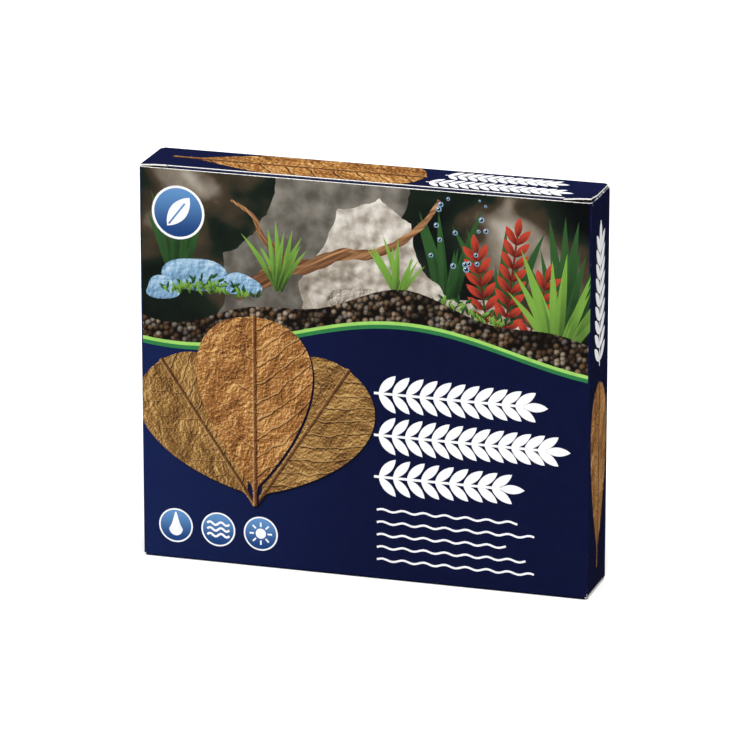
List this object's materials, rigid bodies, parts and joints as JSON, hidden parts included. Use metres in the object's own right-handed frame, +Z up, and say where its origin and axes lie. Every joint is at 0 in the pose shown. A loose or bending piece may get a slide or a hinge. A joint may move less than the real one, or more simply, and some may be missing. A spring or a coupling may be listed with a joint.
{
  "type": "folding carton",
  "caption": "Flat upright folding carton of printed paperboard with reverse-tuck ends, dust flaps and slit locks, filled with two stacks of dried almond leaves.",
  "frame": {"origin": "middle of the base, on the surface that the carton stands on", "axes": "+X to the right across the front panel, +Y from the front panel to the back panel, +Z up"},
  "size_m": [0.16, 0.024, 0.141],
  "materials": {
    "printed_board": "semi-gloss coated print on white board",
    "dried_leaf": "matt dried leaf"
  },
  "bodies": {
    "carton": {"sleeve": "printed_board", "leaf_01": "dried_leaf", "leaf_02": "dried_leaf", "leaf_03": "dried_leaf", "leaf_04": "dried_leaf", "leaf_05": "dried_leaf", "leaf_06": "dried_leaf", "leaf_07": "dried_leaf", "leaf_08": "dried_leaf", "leaf_09": "dried_leaf", "leaf_10": "dried_leaf", "leaf_11": "dried_leaf", "leaf_12": "dried_leaf"},
    "top_lid": {"top_lid": "printed_board"},
    "top_tuck": {"top_tuck": "printed_board"},
    "top_dust_flap_left": {"top_dust_flap_left": "printed_board"},
    "top_dust_flap_right": {"top_dust_flap_right": "printed_board"},
    "bottom_lid": {"bottom_lid": "printed_board"},
    "bottom_tuck": {"bottom_tuck": "printed_board"}
  },
  "joints": [
    {"name": "top_lid_crease", "type": "hinge", "parent": "carton", "child": "top_lid", "pos_m": [0, 0.012, 0.141], "axis": [-1, 0, 0], "range_deg": [0, 135]},
    {"name": "top_tuck_crease", "type": "hinge", "parent": "top_lid", "child": "top_tuck", "pos_m": [0, -0.0107, 0.1405], "axis": [1, 0, 0], "range_deg": [-16, 38]},
    {"name": "top_dust_flap_left_crease", "type": "hinge", "parent": "carton", "child": "top_dust_flap_left", "pos_m": [-0.0792, 0, 0.1397], "axis": [0, 1, 0], "range_deg": [0, 80]},
    {"name": "top_dust_flap_right_crease", "type": "hinge", "parent": "carton", "child": "top_dust_flap_right", "pos_m": [0.0792, 0, 0.1397], "axis": [0, -1, 0], "range_deg": [0, 80]},
    {"name": "bottom_lid_crease", "type": "hinge", "parent": "carton", "child": "bottom_lid", "pos_m": [0, -0.012, 0], "axis": [-1, 0, 0], "range_deg": [0, 135]},
    {"name": "bottom_tuck_crease", "type": "hinge", "parent": "bottom_lid", "child": "bottom_tuck", "pos_m": [0, 0.0107, 0.0005], "axis": [1, 0, 0], "range_deg": [-16, 20]}
  ]
}
